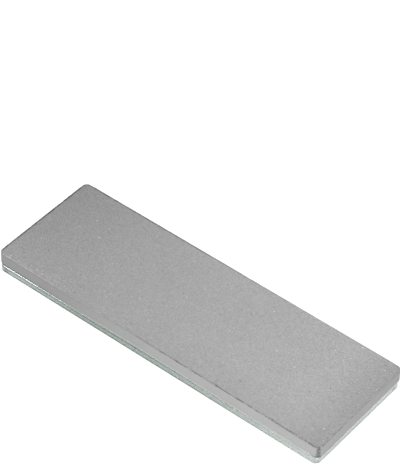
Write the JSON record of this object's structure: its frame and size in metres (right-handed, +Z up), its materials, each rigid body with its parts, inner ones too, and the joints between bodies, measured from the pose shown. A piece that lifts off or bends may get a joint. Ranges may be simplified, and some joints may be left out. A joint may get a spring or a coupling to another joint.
{
  "type": "sharpening whetstone",
  "caption": "Long flat bench whetstone: a grey fine-grained abrasive slab bonded to a clear glass backing plate, with rounded corners and eased edges.",
  "frame": {"origin": "bottom centre of the whole stone, on the glass plate's underside", "axes": "+X along the stone's length, +Y across its width, +Z up out of the working face"},
  "size_m": [0.21, 0.07, 0.0129],
  "materials": {
    "float_glass": "polished",
    "cured_adhesive": "satin",
    "fired_abrasive": "matte"
  },
  "bodies": {
    "root": {"glass_plate": "float_glass", "bond_layer": "cured_adhesive", "abrasive_slab": "fired_abrasive"}
  },
  "joints": []
}
